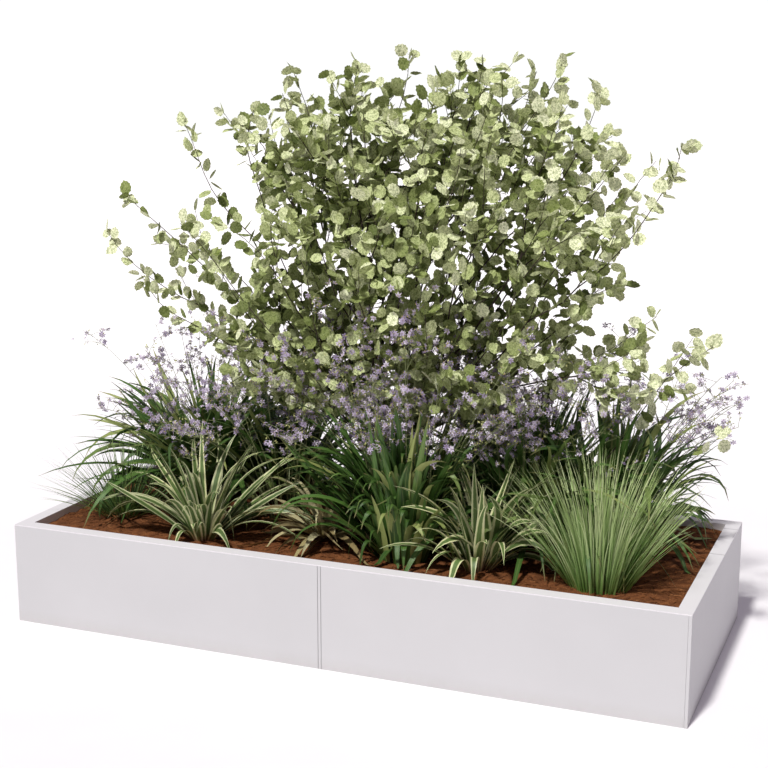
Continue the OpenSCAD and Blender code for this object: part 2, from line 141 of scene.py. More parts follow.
class Look:
    """A procedural material under construction: a Principled shader and short calls that feed it."""

    def __init__(self, name, roughness=0.5, metallic=0.0, specular=0.5):
        self.material = bpy.data.materials.new(name)
        self.material.use_nodes = True
        tree = self.material.node_tree
        self.nodes, self.link = tree.nodes, tree.links.new
        self.shader = self.nodes["Principled BSDF"]
        self.shader.inputs["Roughness"].default_value = roughness
        self.shader.inputs["Metallic"].default_value = metallic
        self.shader.inputs["Specular IOR Level"].default_value = specular
        self.place = self.node("TexCoord").outputs["Object"]

    def node(self, kind, **values):
        node = self.nodes.new("ShaderNode" + kind)
        for name, value in values.items():
            node.inputs[name].default_value = value
        return node

    def attribute(self, name):
        node = self.node("Attribute")
        node.attribute_name = name
        return node.outputs["Fac"]

    def noise(self, scale, detail=3.0, roughness=0.55, stretch=None):
        node = self.node("TexNoise", Scale=scale, Detail=detail, Roughness=roughness)
        self.link(self.stretched(stretch), node.inputs["Vector"])
        return node.outputs["Fac"]

    def cells(self, scale, output="Distance"):
        node = self.node("TexVoronoi", Scale=scale)
        self.link(self.place, node.inputs["Vector"])
        return node.outputs[output]

    def stretched(self, stretch):
        if stretch is None:
            return self.place
        node = self.node("Mapping", Scale=stretch)
        self.link(self.place, node.inputs["Vector"])
        return node.outputs["Vector"]

    def axis(self, letter):
        node = self.node("SeparateXYZ")
        self.link(self.place, node.inputs["Vector"])
        return node.outputs[letter]

    def beside(self, letter, spots, reach):
        """1 at the two spots along an axis, falling to 0 at reach from them."""
        gaps = [self.math("ABSOLUTE", self.math("SUBTRACT", self.axis(letter), spot)) for spot in spots]
        nearest = self.math("DIVIDE", self.math("MINIMUM", *gaps), reach)
        return self.math("SUBTRACT", 1.0, self.math("MINIMUM", nearest, 1.0))

    def below(self, value, sharpness):
        """1 where value is 0, falling to 0 at 1 / sharpness."""
        return self.math("SUBTRACT", 1.0, self.math("MINIMUM", self.product(value, sharpness), 1.0))

    def math(self, operation, *values):
        node = self.node("Math")
        node.operation = operation
        for socket, value in zip(node.inputs, values):
            if isinstance(value, (int, float)):
                socket.default_value = value
            else:
                self.link(value, socket)
        return node.outputs["Value"]

    def ramp(self, value, *stops):
        """A colour ramp. Each stop is (position, (r, g, b)) in linear light."""
        node = self.node("ValToRGB")
        points = node.color_ramp.elements
        while len(points) < len(stops):
            points.new(0.5)
        for point, (position, colour) in zip(points, stops):
            point.position = position
            point.color = (*colour, 1.0)
        self.link(value, node.inputs["Fac"])
        return node.outputs["Color"]

    def toned(self, *stops):
        """A colour for each leaf, shard or petal, by the tone that its points carry."""
        return self.ramp(self.attribute("tone"), *stops)

    def times(self, a, b):
        """Multiplies two colours."""
        return self.mix(1.0, a, b, "MULTIPLY")

    def product(self, a, b):
        return self.math("MULTIPLY", a, b)

    def mix(self, factor, a, b, blend="MIX"):
        """Mixes two colours, each a socket or an (r, g, b)."""
        node = self.node("Mix")
        node.data_type, node.blend_type = "RGBA", blend
        colour_a, colour_b = node.inputs[6], node.inputs[7]
        for socket, value in ((node.inputs[0], factor), (colour_a, a), (colour_b, b)):
            if isinstance(value, tuple):
                socket.default_value = (*value, 1.0)
            elif isinstance(value, (int, float)):
                socket.default_value = value
            else:
                self.link(value, socket)
        return node.outputs[2]

    def colour(self, socket):
        self.link(socket, self.shader.inputs["Base Color"])
        self.base = socket
        return self

    def roughness(self, value, low, high):
        node = self.node("MapRange")
        node.inputs["To Min"].default_value, node.inputs["To Max"].default_value = low, high
        self.link(value, node.inputs["Value"])
        self.link(node.outputs["Result"], self.shader.inputs["Roughness"])
        return self

    def bump(self, value, distance, strength=1.0):
        node = self.node("Bump", Strength=strength, Distance=distance)
        self.link(value, node.inputs["Height"])
        self.link(node.outputs["Normal"], self.shader.inputs["Normal"])
        return self

    def lit_through(self, share):
        """Lets a share of the light through, as a thin leaf or petal does."""
        through = self.node("BsdfTranslucent")
        self.link(self.base, through.inputs["Color"])
        both = self.node("MixShader", Fac=share)
        self.link(self.shader.outputs["BSDF"], both.inputs[1])
        self.link(through.outputs["BSDF"], both.inputs[2])
        self.link(both.outputs["Shader"], self.nodes["Material Output"].inputs["Surface"])
        return self


SPLASH_HEIGHT = 0.05
SPLASHED_SOIL = (0.40, 0.36, 0.33)
# Colour of the painted shade in the gaps at the joints.
JOINT_SHADE = (0.20, 0.19, 0.20)


def powder_coat(name, dark, light, letter, joints, reach):
    """Satin paint, with soil splashed low down, and painted shade darkening it within reach of the joints,
    square to an axis.
    """
    look = Look(name, roughness=0.42, specular=0.14)
    base = look.ramp(look.noise(2.2, 4.0), (0.3, dark), (0.7, light))
    low = look.below(look.axis("Z"), 1 / SPLASH_HEIGHT)
    splash = look.product(look.noise(45.0, 6.0, 0.7), low)
    splashed = look.mix(look.product(splash, 0.35), base, SPLASHED_SOIL)
    # Painted shade in the joint gaps: strongest at each joint, gone at reach from it.
    joint_shade = look.product(look.beside(letter, joints, reach), 0.7)
    look.colour(look.mix(joint_shade, splashed, JOINT_SHADE))
    look.roughness(look.noise(60.0, 5.0, 0.7), 0.36, 0.52)
    return look.bump(look.noise(1400.0, 2.0), 0.00004, 0.6).material


def plated_steel(name, dark, light, scale):
    look = Look(name, roughness=0.4, metallic=1.0)
    look.colour(look.ramp(look.cells(scale, "Color"), (0.2, dark), (0.8, light)))
    look.roughness(look.noise(120.0), 0.3, 0.55)
    return look.bump(look.noise(500.0, 4.0), 0.0001, 0.4).material


def foam():
    look = Look("foam_board", roughness=0.9)
    cell = look.cells(260.0)
    look.colour(look.ramp(cell, (0.0, (0.42, 0.52, 0.66)), (0.6, (0.60, 0.70, 0.82))))
    return look.bump(cell, 0.0008, 0.6).material


def gravel():
    look = Look("gravel", roughness=0.9)
    scale = 90.0
    look.colour(look.ramp(look.cells(scale, "Color"), (0.1, (0.14, 0.085, 0.06)), (0.5, (0.26, 0.17, 0.12)),
                          (0.9, (0.36, 0.30, 0.26))))
    return look.bump(look.cells(scale), 0.006, 0.9).material


def fleece():
    look = Look("fleece", roughness=0.95)
    felt = look.noise(700.0, 5.0, 0.7, stretch=(1.0, 0.3, 1.0))
    look.colour(look.ramp(felt, (0.3, (0.50, 0.50, 0.48)), (0.7, (0.72, 0.72, 0.69))))
    return look.bump(felt, 0.0005).material


def earth(name, dark, light, scale):
    look = Look(name, roughness=0.95, specular=0.2)
    crumb = look.noise(scale, 8.0, 0.75)
    look.colour(look.ramp(crumb, (0.32, dark), (0.68, light)))
    return look.bump(crumb, 0.006, 0.8).material


def bark(lift):
    """Shredded bark: each shard has its own tone, with fine fibres along it that lift makes brighter."""
    look = Look("bark_mulch", roughness=0.9, specular=0.25)
    shade = look.toned((0.0, (0.085, 0.029, 0.010)), (0.35, (0.175, 0.061, 0.020)),
                       (0.7, (0.270, 0.101, 0.034)), (1.0, (0.40, 0.175, 0.070)))
    fibre = look.noise(420.0, 5.0, 0.7, stretch=(1.0, 0.45, 1.0))
    grain = look.ramp(fibre, (0.35, (0.45, 0.42, 0.40)), (0.65, (lift, lift, lift)))
    look.colour(look.times(shade, grain))
    return look.bump(fibre, 0.0012, 0.8).material


def stem_bark():
    look = Look("stem_bark", roughness=0.85, specular=0.3)
    ridge = look.noise(130.0, 6.0, 0.7, stretch=(1.0, 1.0, 0.25))
    look.colour(look.ramp(ridge, (0.3, (0.018, 0.014, 0.010)), (0.55, (0.055, 0.042, 0.028)),
                          (0.8, (0.15, 0.12, 0.085))))
    return look.bump(ridge, 0.0015, 0.8).material


def round_leaf():
    """Round shrub leaf: pale on new growth and, as painted light, on the crown's outside; olive where old
    and, as painted shade, deep in the crown; mottled, with a paler midrib.
    """
    look = Look("round_leaf", roughness=0.55, specular=0.2)
    shade = look.toned((0.0, (0.060, 0.084, 0.022)), (0.35, (0.320, 0.380, 0.130)),
                       (0.70, (0.670, 0.730, 0.380)), (1.0, (0.860, 0.890, 0.620)))
    mottle = look.noise(140.0, 6.0, 0.85)
    speck = look.ramp(mottle, (0.42, (0.42, 0.46, 0.34)), (0.50, (0.95, 0.96, 0.90)),
                      (0.58, (1.22, 1.19, 1.28)))
    rib = look.below(look.math("ABSOLUTE", look.attribute("across")), 14.0)
    look.colour(look.mix(look.product(rib, 0.25), look.times(shade, speck), (0.50, 0.54, 0.30)))
    look.bump(mottle, 0.0008, 0.6)
    return look.lit_through(0.2).material


LINES_ACROSS = 34.0
DRY_TIP = (0.30, 0.24, 0.11)


def strap_leaf(dark, mid, pale):
    """Strap leaf: green blade, paler keel, fine lines along it, dry tip."""
    look = Look("strap_leaf", roughness=0.42, specular=0.45)
    shade = look.toned((0.0, dark), (0.6, mid), (1.0, pale))
    across = look.math("ABSOLUTE", look.attribute("across"))
    wave = look.math("SINE", look.product(across, LINES_ACROSS))
    line = look.product(look.math("ADD", wave, 1.0), 0.5)
    lined = look.mix(look.product(line, 0.22), shade, dark)
    keeled = look.mix(look.product(look.below(across, 9.0), 0.4), lined, pale)
    past_green = look.math("SUBTRACT", look.product(look.attribute("along"), 8.0), 7.2)
    tip = look.math("MINIMUM", look.math("MAXIMUM", past_green, 0.0), 0.8)
    look.colour(look.mix(tip, keeled, DRY_TIP))
    look.bump(line, 0.0004, 0.4)
    return look.lit_through(0.15).material


def striped_leaf():
    """Strap leaf with cream margins and a reddish foot."""
    look = Look("striped_leaf", roughness=0.45, specular=0.4)
    across = look.math("ABSOLUTE", look.attribute("across"))
    waver = look.product(look.math("SUBTRACT", look.noise(60.0), 0.5), 0.22)
    edge = look.math("ADD", across, waver)
    stripe = look.ramp(edge, (0.0, (0.190, 0.260, 0.110)), (0.10, (0.110, 0.180, 0.050)),
                       (0.50, (0.145, 0.235, 0.070)), (0.58, (0.66, 0.69, 0.38)), (1.0, (0.82, 0.82, 0.54)))
    tint = look.toned((0.0, (0.62, 0.64, 0.60)), (1.0, (1.08, 1.06, 1.0)))
    foot = look.ramp(look.attribute("along"), (0.04, (1.0, 1.0, 1.0)), (0.15, (0.0, 0.0, 0.0)))
    look.colour(look.mix(look.product(foot, 0.75), look.times(stripe, tint), (0.22, 0.075, 0.04)))
    look.bump(look.noise(500.0, 3.0), 0.0003, 0.4)
    return look.lit_through(0.18).material


def grass_look():
    """Fine blade: green at the foot, pale towards the tip."""
    look = Look("grass_blade", roughness=0.5, specular=0.35)
    foot = look.toned((0.0, (0.035, 0.085, 0.028)), (0.5, (0.13, 0.29, 0.055)), (1.0, (0.26, 0.45, 0.11)))
    tip = look.toned((0.0, (0.12, 0.19, 0.08)), (0.5, (0.46, 0.60, 0.22)), (1.0, (0.82, 0.86, 0.52)))
    waver = look.product(look.math("SUBTRACT", look.noise(45.0), 0.5), 0.5)
    rise = look.math("ADD", look.attribute("along"), waver)
    look.colour(look.mix(look.math("MINIMUM", look.math("MAXIMUM", rise, 0.0), 1.0), foot, tip))
    look.bump(look.noise(700.0, 2.0), 0.0002, 0.4)
    return look.lit_through(0.2).material


def petal():
    look = Look("petal", roughness=0.6, specular=0.3)
    shade = look.toned((0.0, (0.325, 0.262, 0.40)), (0.5, (0.545, 0.465, 0.61)), (1.0, (0.82, 0.75, 0.85)))
    throat = look.ramp(look.attribute("along"), (0.12, (0.85, 0.80, 0.95)), (0.45, (1.0, 1.0, 1.0)))
    look.colour(look.times(shade, throat))
    look.bump(look.noise(900.0), 0.0002, 0.3)
    return look.lit_through(0.25).material


def speckled(name, roughness, scale, dark, light, grain, depth):
    """A plain matt skin with two tones and a fine grain, for the small parts of a flower head."""
    look = Look(name, roughness)
    look.colour(look.ramp(look.noise(scale), (0.3, dark), (0.7, light)))
    return look.bump(look.noise(grain), depth).material


def dried_leaf():
    look = Look("dried_leaf", roughness=0.75, specular=0.25)
    shade = look.toned((0.0, (0.26, 0.19, 0.085)), (0.5, (0.50, 0.43, 0.22)), (1.0, (0.70, 0.66, 0.42)))
    crease = look.noise(220.0, 5.0, 0.7)
    look.colour(look.times(shade, look.ramp(crease, (0.3, (0.6, 0.56, 0.5)), (0.7, (1.05, 1.05, 1.0)))))
    look.bump(crease, 0.0008, 0.6)
    return look.lit_through(0.15).material


def floor_paint():
    """Pale matt paint that glows a little more the further it is from the part, to meet the white behind."""
    look = Look("floor", roughness=0.9, specular=0.1)
    look.colour(look.ramp(look.noise(3.0, 4.0), (0.3, (0.87, 0.845, 0.875)), (0.7, (0.89, 0.865, 0.895))))
    far = look.node("VectorMath")
    far.operation = "LENGTH"
    look.link(look.place, far.inputs[0])
    share = look.math("DIVIDE", far.outputs["Value"], GLOW_REACH)
    glow = look.ramp(share, (0.12, (0.02, 0.02, 0.02)), (0.6, (0.3, 0.3, 0.3)))
    look.link(glow, look.shader.inputs["Emission Color"])
    look.shader.inputs["Emission Strength"].default_value = 1.0
    return look.material


# ---- Building meshes ----


class Shape:
    """Points, faces and values at points for one piece, gathered part by part."""

    VALUES = ("tone", "along", "across")
    # Edges that bend by more than this, in degrees, are shaded sharp.
    SHARP = 50

    def __init__(self):
        self.points, self.quads, self.tris, self.slots = [], [], [], []
        self.values = {name: [] for name in self.VALUES}
        self.count = 0

    def add(self, points, quads=(), tris=(), slot=0, **values):
        """Adds points (n, 3) with faces that index them. Each value is a number or one per point."""
        points = np.asarray(points, float).reshape(-1, 3)
        quads = np.asarray(quads, int).reshape(-1, 4) + self.count
        tris = np.asarray(tris, int).reshape(-1, 3) + self.count
        self.points.append(points)
        self.quads.append(quads)
        self.tris.append(tris)
        self.slots.append((len(quads), len(tris), slot))
        for name in self.VALUES:
            self.values[name].append(np.broadcast_to(values.get(name, 0.0), len(points)))
        self.count += len(points)

    def mesh(self, name, materials):
        points = np.concatenate(self.points)
        quads, tris = np.concatenate(self.quads), np.concatenate(self.tris)
        mesh = bpy.data.meshes.new(name)
        mesh.vertices.add(len(points))
        mesh.vertices.foreach_set("co", points.astype(np.float32).ravel())
        corners = np.concatenate([quads.ravel(), tris.ravel()])
        sizes = np.repeat([4, 3], [len(quads), len(tris)])
        mesh.loops.add(len(corners))
        mesh.polygons.add(len(sizes))
        mesh.loops.foreach_set("vertex_index", corners.astype(np.int32))
        mesh.polygons.foreach_set("loop_start", (np.cumsum(sizes) - sizes).astype(np.int32))
        slots = [np.full(q, s) for q, _, s in self.slots] + [np.full(t, s) for _, t, s in self.slots]
        mesh.polygons.foreach_set("material_index", np.concatenate(slots).astype(np.int32))
        mesh.update(calc_edges=True)
        mesh.validate()
        for value in self.VALUES:
            layer = mesh.attributes.new(value, "FLOAT", "POINT")
            layer.data.foreach_set("value", np.concatenate(self.values[value]).astype(np.float32))
        for material in materials:
            mesh.materials.append(material)
        mesh.shade_smooth()
        mesh.set_sharp_from_angle(angle=math.radians(self.SHARP))
        return mesh


def add_piece(name, shape, materials, slot, *stands_for):
    """Makes a piece that rides on the root body and takes the place of the CAD nodes it stands for."""
    piece = bpy.data.objects.new(name, shape.mesh(name, materials))
    bpy.context.collection.objects.link(piece)
    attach(piece, "root")
    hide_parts(*stands_for)


def unit(v):
    return v / np.maximum(np.linalg.norm(v, axis=-1, keepdims=True), 1e-9)


def spin_frame(tangent, side):
    """A side direction square to each tangent, as near the given one as it can be, and the normal to both."""
    side = unit(side - np.sum(side * tangent, axis=-1, keepdims=True) * tangent)
    return side, np.cross(tangent, side)


def ring_quads(rings, corners):
    """The faces that join each ring of corners with the next."""
    i, j = np.meshgrid(np.arange(rings - 1) * corners, np.arange(corners), indexing="ij")
    k = (j + 1) % corners
    return np.stack([i + j, i + k, i + corners + k, i + corners + j], -1).reshape(-1, 4)


def tube(shape, path, radii, sides, tone=0.5):
    """A closed round tube along path, one radius at each point."""
    path, radii = np.asarray(path, float), np.asarray(radii, float)
    n = len(path)
    tangent = unit(np.gradient(path, axis=0))
    rough = np.array([0.31, 0.95, 0.05]) if abs(tangent[0][2]) > 0.8 else np.array([0.0, 0.0, 1.0])
    side, normal = spin_frame(tangent, np.broadcast_to(rough, path.shape))
    turn = np.arange(sides) * TAU / sides
    ring = (side[:, None] * np.cos(turn)[None, :, None] + normal[:, None] * np.sin(turn)[None, :, None])
    points = path[:, None] + ring * radii[:, None, None]
    fan = np.array([[0, m + 1, m] for m in range(1, sides - 1)])
    last = (n - 1) * sides
    ends = np.concatenate([fan, last + fan[:, ::-1]])
    shape.add(points, ring_quads(n, sides), ends, tone=tone, along=np.repeat(np.linspace(0, 1, n), sides))


def bent_path(foot, azimuth, length, start, end, power, steps, sway=0.0):
    """A path that leaves foot at elevation start and bends over to elevation end, in radians."""
    s = np.linspace(0, 1, steps + 1)
    mid = (s[1:] + s[:-1]) / 2
    rise = start + (end - start) * mid ** power
    turn = azimuth + sway * mid ** 2
    heading = np.stack([np.cos(rise) * np.cos(turn), np.cos(rise) * np.sin(turn), np.sin(rise)], -1)
    return np.asarray(foot) + np.concatenate([np.zeros((1, 3)), np.cumsum(heading * length / steps, axis=0)])


def blade(shape, path, widths, thickness, fold, twist, tone):
    """A closed thin leaf along path with a V-shaped fold, twisted by twist radians at its tip."""
    n = len(path)
    s = np.linspace(0, 1, n)
    tangent = unit(np.gradient(path, axis=0))
    flat = unit(np.cross(tangent[0] + np.array([0, 0, 1e-3]), [0, 0, 1.0]))
    side, normal = spin_frame(tangent, np.broadcast_to(flat, path.shape))
    flip = np.where(normal[:, 2:] < 0, -1.0, 1.0) if abs(tangent[0][2]) < 0.3 else -np.ones((n, 1))
    normal = normal * flip
    angle = (twist * s)[:, None]
    cosine, sine = np.cos(angle), np.sin(angle)
    side, normal = side * cosine + normal * sine, normal * cosine - side * sine
    half = (widths / 2)[:, None]
    lift = half * (fold * (1 - 0.6 * s))[:, None]
    deep = (thickness * (1 - 0.7 * s))[:, None] / 2
    left, right = path - side * half + normal * lift, path + side * half + normal * lift
    points = np.stack([left, path + normal * deep, right, path - normal * deep], 1)
    last = 4 * (n - 1)
    caps = [[3, 2, 1, 0], [last, last + 1, last + 2, last + 3]]
    shape.add(points, np.concatenate([ring_quads(n, 4), caps]), tone=tone, along=np.repeat(s, 4),
              across=np.tile([-1.0, 0.0, 1.0, 0.0], n))


def strap_widths(width, steps, foot=0.55, tip_power=2.6):
    """Widths along a leaf: a narrower foot, a full middle and a pointed tip."""
    s = np.linspace(0, 1, steps + 1)
    return width * np.minimum(1, foot + 1.4 * s) * np.maximum(1 - s ** tip_power, 0.02)


# ---- The box ----


def dress_frame(looks):
    """Gives each CAD node that stays its material, by the first word of its name or by its slot."""
    slots = {part["node"]: part["material_slot"] for part in frame["record"]["subparts"]}
    for node, obj in frame["nodes"].items():
        look = looks.get(node.split("_")[0]) or looks.get(slots[node])
        if look is not None:
            obj.data.materials.clear()
            obj.data.materials.append(look)


# ---- Mulch ----

# Swells of the bark: wavelength, height and how many cross each other.
SWELLS = ((0.55, 0.0016, 5), (0.14, 0.0009, 9), (0.045, 0.0007, 14))
BARK_GRAIN = 0.0012
BED_INSET = 0.0005
BED_FLOOR = BED_LOW[2] + 0.001
SHARDS = 4600
SHARD_LENGTH = (0.008, 0.034)
SHARD_WIDTH = (0.0016, 0.0052)
SHARD_THICKNESS = (0.0009, 0.0024)
SHARD_MARGIN = 0.012
SHARD_TILT = 0.09
# Share of shards that are longer, and how much longer.
LONG_SHARE = 0.08
LONGER = 1.5


def bed_height(x, y, waves):
    """Height of the bark's surface over its nominal level: low swells and finer lumps."""
    z = np.zeros_like(x)
    for kx, ky, phase, size in waves:
        z += size * np.sin(kx * x + ky * y + phase)
    return z


def bed_waves(rng):
    waves = []
    for wavelength, size, count in SWELLS:
        for _ in range(count):
            heading = rng.uniform(0, TAU)
            k = TAU / (wavelength * rng.uniform(0.7, 1.4))
            phase = rng.uniform(0, TAU)
            waves.append((k * math.cos(heading), k * math.sin(heading), phase, size * rng.uniform(0.4, 1)))
    return waves


def make_mulch(material):
    """A closed bed of bark with a rough top, walls down its sides and a floor, and shards lying on it."""
    rng = np.random.default_rng(11)
    waves = bed_waves(rng)
    shape = Shape()
    nx, ny = 170, 68
    xs = np.linspace(BED_LOW[0] + BED_INSET, BED_HIGH[0] - BED_INSET, nx)
    ys = np.linspace(BED_LOW[1] + BED_INSET, BED_HIGH[1] - BED_INSET, ny)
    x, y = np.meshgrid(xs, ys, indexing="ij")
    top = BED_TOP - BARK_DROP + bed_height(x, y, waves) + rng.normal(0, BARK_GRAIN, x.shape)
    surface = np.stack([x, y, top], -1).reshape(-1, 3)
    i, j = np.meshgrid(np.arange(nx - 1), np.arange(ny - 1), indexing="ij")
    a = i * ny + j
    upper = np.stack([a, a + ny, a + ny + 1, a + 1], -1).reshape(-1, 4)
    rim = np.concatenate([np.arange(nx) * ny, (nx - 1) * ny + np.arange(1, ny),
                          np.arange(nx - 2, -1, -1) * ny + ny - 1, np.arange(ny - 2, 0, -1)])
    skirt = surface[rim] * [1, 1, 0] + [0, 0, BED_FLOOR]
    under = len(surface) + np.arange(len(rim))
    after, under_after = np.roll(rim, -1), np.roll(under, -1)
    walls = np.stack([rim, under, under_after, after], -1)
    base = len(surface) + len(rim)
    fan = np.stack([np.full(len(rim), base), under_after, under], -1)
    points = np.concatenate([surface, skirt, [[0, 0, BED_FLOOR]]])
    shape.add(points, np.concatenate([upper, walls]), fan, tone=rng.uniform(0.15, 0.6, len(points)))
    add_shards(shape, rng, waves)
    add_piece("mulch_bed", shape, [material], "bark_mulch", "mulch")


def add_shards(shape, rng, waves):
    """Loose bark shards: flattened, pointed at both ends, lying on the bed at small tilts."""
    for _ in range(SHARDS):
        x = rng.uniform(BED_LOW[0] + SHARD_MARGIN, BED_HIGH[0] - SHARD_MARGIN)
        y = rng.uniform(BED_LOW[1] + SHARD_MARGIN, BED_HIGH[1] - SHARD_MARGIN)
        length = rng.uniform(*SHARD_LENGTH) * (LONGER if rng.random() < LONG_SHARE else 1.0)
        width, thick = rng.uniform(*SHARD_WIDTH), rng.uniform(*SHARD_THICKNESS)
        heading = rng.uniform(0, math.pi)
        room = min(x - BED_LOW[0], BED_HIGH[0] - x, y - BED_LOW[1], BED_HIGH[1] - y)
        length = min(length, 2 * room)
        z = BED_TOP - BARK_DROP + bed_height(np.array(x), np.array(y), waves) + rng.uniform(0, 0.0035)
        tilt = rng.normal(0, SHARD_TILT)
        level = math.cos(tilt)
        along = np.array([math.cos(heading) * level, math.sin(heading) * level, math.sin(tilt)])
        side = np.array([-math.sin(heading), math.cos(heading), rng.normal(0, 0.25)])
        up = np.cross(along, side)
        c = np.array([x, y, z])
        bow = rng.normal(0, 0.08) * length
        e = 0.5 * length
        ends = [c - along * e, c + along * e]
        mids = [c + along * t * e * 0.55 + side * (u * width / 2 + bow * 0.5) + up * v * thick / 2
                for t in (-1, 1) for u, v in ((-1, -0.6), (1, -1), (0.8, 1), (-0.7, 0.8))]
        tris = [(0, 3, 2), (0, 4, 3), (0, 5, 4), (0, 2, 5), (1, 6, 7), (1, 7, 8), (1, 8, 9), (1, 9, 6)]
        quads = [(2, 3, 7, 6), (3, 4, 8, 7), (4, 5, 9, 8), (5, 2, 6, 9)]
        shape.add(ends + mids, quads, tris, tone=rng.beta(2.0, 2.2))


# ---- Strap-leaved clumps ----

# A leaf above this height has cleared the rims, and below it keeps this far inside the bed's edge.
RIM_CLEAR = 0.42
LEAF_MARGIN = 0.012
# How much a leaf that doesn't fit is drawn in at a time, and how often at most.
DRAW_IN = 0.93
DRAWS = 24
# How deep in the bark a leaf starts, and how far its tip then lies above its foot.
ROOTED = 0.012
TIP_LIE = 0.018
GOLDEN_TURN = 2.39996
LEAF_STEPS = 12
LEAF_THICKNESS = 0.0012
GRASS_STEPS = 8
GRASS_THICKNESS = 0.0008


def middle(node):
    """The middle of a node at the level of the bed."""
    low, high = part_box(node)
    return np.array([(low[0] + high[0]) / 2, (low[1] + high[1]) / 2, BED_TOP])


def fence(path, reach):
    """Draws a leaf in towards its foot until it clears the rims and stays within reach."""
    foot, (low, high) = path[0, :2], reach
    bed = np.array(BED_HIGH[:2]) - LEAF_MARGIN
    for _ in range(DRAWS):
        under_rim = path[:, 2] < RIM_CLEAR
        beyond_bed = np.any(np.abs(path[:, :2]) > bed, axis=1)
        if not np.any(under_rim & beyond_bed) and np.all(path[:, :2] > low) and np.all(path[:, :2] < high):
            break
        path = path.copy()
        path[:, :2] = foot + (path[:, :2] - foot) * DRAW_IN
    return path


def over_ground(path):
    """Lets a leaf that has come down lie on the bed."""
    path[:, 2] = np.maximum(path[:, 2], BED_TOP - ROOTED + TIP_LIE * np.linspace(0, 1, len(path)))
    return path


def leaf_spread(rng, leaves, foot_radius, crowd=0.5):
    """
    Yields each leaf's azimuth, its foot's offset and how far out in the clump it grows, 0 to 1.
    A crowd of 0.5 spreads the leaves evenly, and more gathers them towards the middle.
    """
    for i in range(leaves):
        out = ((i + 0.5) / leaves) ** crowd
        azimuth = i * GOLDEN_TURN + rng.uniform(-0.25, 0.25)
        foot = foot_radius * out
        yield azimuth, np.array([foot * math.cos(azimuth), foot * math.sin(azimuth), -ROOTED]), out


def strap_clump(name, node, material, slot, seed, leaves, length, width, start, end, foot=0.05, fold=0.4,
                power=1.8, twist=0.6, pale=0.12, wild=1.0, strays=(), reach=LEAF_REACH, tuft=(0, 0),
                tuft_share=0.0, crowd=0.5):
    """
    A clump of arching leaves. start and end are a leaf's elevations in degrees at its foot and at its tip,
    each for the clump's middle and for its edge. wild scales how far leaves stray from that, and pale is
    the share of pale leaves. A share of the leaves may grow from a second tuft beside the first. strays
    lists leaves placed one by one: heading, length, elevation at the foot and at the tip, and tone.
    """
    rng = np.random.default_rng(seed)
    shape, centre, steps = Shape(), middle(node), LEAF_STEPS
    for azimuth, offset, out in leaf_spread(rng, leaves, foot, crowd):
        if rng.random() < tuft_share:
            offset = offset + [tuft[0], tuft[1], 0]
        size = rng.uniform(*length) * (0.88 + 0.22 * out)
        rise = math.radians(start[0] + (start[1] - start[0]) * out + rng.normal(0, 5 * wild))
        fall = math.radians(end[0] + (end[1] - end[0]) * out + rng.normal(0, 18 * wild))
        bend = power * rng.uniform(0.75, 1.3)
        sway = rng.normal(0, 0.4 * wild)
        path = bent_path(centre + offset, azimuth, size, rise, min(fall, rise), bend, steps, sway)
        path = over_ground(fence(path, reach))
        tone = rng.uniform(0.85, 1.0) if rng.random() < pale else rng.beta(1.8, 2.2) * 0.85
        widths = strap_widths(rng.uniform(*width), steps)
        blade(shape, path, widths, LEAF_THICKNESS, fold, rng.normal(0, twist), tone)
    for heading, size, rise, fall, tone in strays:
        heading, rise, fall = math.radians(heading), math.radians(rise), math.radians(fall)
        path = bent_path(centre, heading, size, rise, fall, 1.8, steps)
        blade(shape, path, strap_widths(width[1], steps), LEAF_THICKNESS, fold, 0.9, tone)
    add_piece(name, shape, [material], slot, node)


def green_clump(side, material, **form):
    """One of the wide green clumps that the flowers rise from."""
    strap_clump("purple_" + side + "_leaves", "purple_" + side, material, "strap_leaf", width=(0.024, 0.038),
                power=1.9, wild=1.6, **form)


def grass_clump(name, node, material, seed, blades, length, width, lean, foot, tones):
    """A fountain of fine blades that lean out by up to lean degrees."""
    rng = np.random.default_rng(seed)
    shape, centre, steps = Shape(), middle(node), GRASS_STEPS
    for azimuth, offset, out in leaf_spread(rng, blades, foot):
        size = rng.uniform(*length) * (1.0 - 0.10 * out)
        rise = math.radians(90 - lean * out ** 1.3 + rng.normal(0, 4))
        fall = rise - math.radians(abs(rng.normal(0, 12)) + 12 * out)
        path = bent_path(centre + offset, azimuth, size, rise, fall, 1.6, steps, rng.normal(0, 0.3))
        path = over_ground(fence(path, LEAF_REACH))
        widths = strap_widths(rng.uniform(*width), steps, foot=0.8, tip_power=1.7)
        blade(shape, path, widths, GRASS_THICKNESS, 0.5, rng.normal(0, 0.6), rng.uniform(*tones))
    add_piece(name, shape, [material], "grass_blade", node)


# ---- Flower heads ----

# Order of the flowers' materials.
PETAL_SLOT, MIDDLE_SLOT, BUD_SLOT = 1, 2, 3
PETALS = 6
# A petal's points: its root, one flank, its tip and the other flank.
PETAL_FACES = np.array([(0, 1, 2), (0, 2, 3), (0, 3, 1), (1, 3, 2)])
FLORET_RADIUS = (0.0095, 0.0140)
FLORET_STALK = (0.006, 0.018)
BUD_SHARE = 0.35
BUD_LENGTH, BUD_RADIUS = 0.007, 0.0030
# How far up its stalk a flower head begins.
HEAD_FROM = 0.64
STALK_STEPS = 12
TWIG_STEPS = 4
# Off-axis direction that no flower faces exactly, to find its sides from.
ASKEW = [0.3, 0.5, 0.81]


